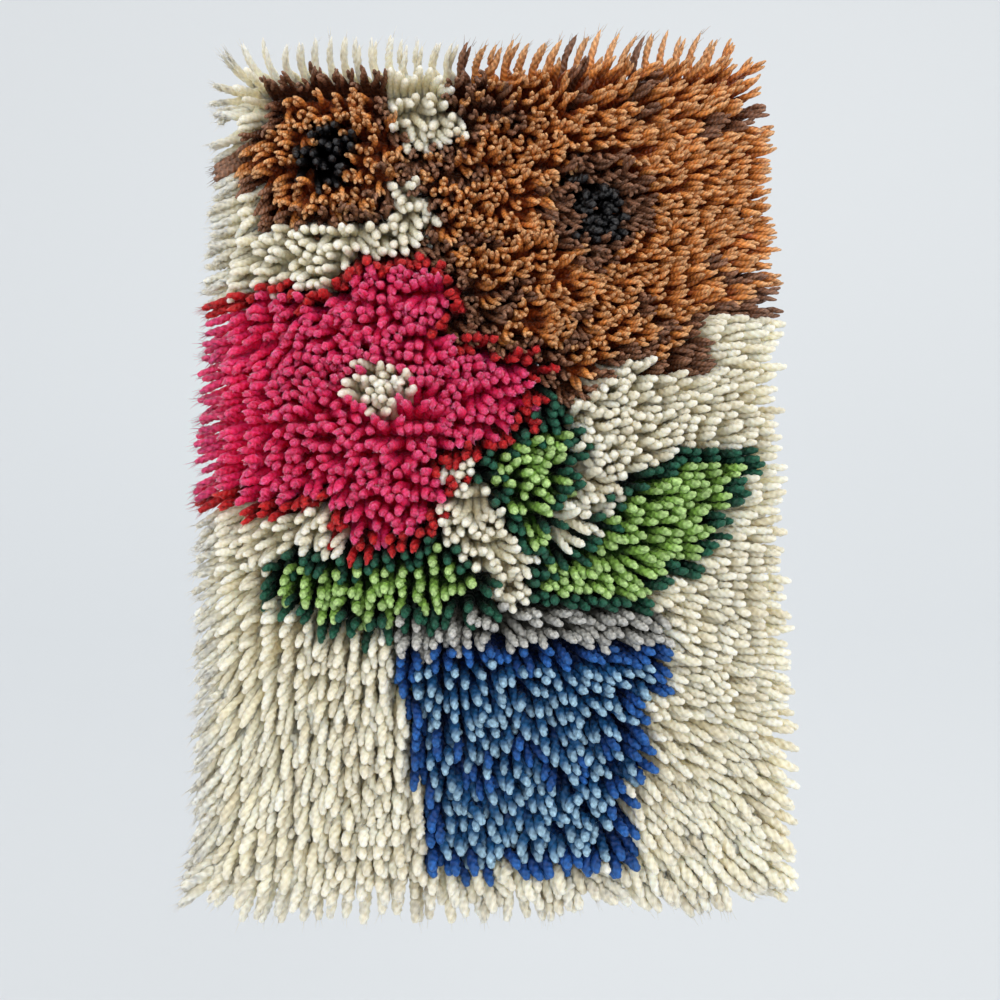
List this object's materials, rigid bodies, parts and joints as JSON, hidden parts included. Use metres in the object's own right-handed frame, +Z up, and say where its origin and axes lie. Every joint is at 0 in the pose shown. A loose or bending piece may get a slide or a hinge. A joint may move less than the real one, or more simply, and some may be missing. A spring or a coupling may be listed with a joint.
{
  "type": "latch hook wall hanging",
  "caption": "Shaggy wall hanging of cut yarn knotted through a rug canvas with a turned hem, showing flowers in a pot; hangs flat on a wall by its top edge.",
  "frame": {"origin": "middle of the canvas's top edge, where the hanging is held up", "axes": "+Z up along the canvas's length, +Y out of the back towards the wall, pile towards -Y, +X to the right of someone facing the pile"},
  "size_m": [0.2978, 0.031, 0.4462],
  "materials": {
    "canvas": "stiff cotton mesh",
    "cream": "plied wool-like yarn, soft sheen",
    "golden_brown": "plied wool-like yarn, soft sheen",
    "dark_brown": "plied wool-like yarn, soft sheen",
    "pink": "plied wool-like yarn, soft sheen",
    "light_blue": "plied wool-like yarn, soft sheen",
    "grey": "plied wool-like yarn, soft sheen",
    "green": "plied wool-like yarn, soft sheen"
  },
  "bodies": {
    "root": {"canvas": "canvas", "ground_1": "cream", "ground_2": "cream", "ground_3": "cream", "ground_4": "cream", "bud": "golden_brown", "sunflower": "golden_brown", "sunflower_centre": "dark_brown", "pink_flower": "pink", "pot": "light_blue", "pot_band": "grey", "leaves_1": "green", "leaves_2": "green"}
  },
  "joints": []
}
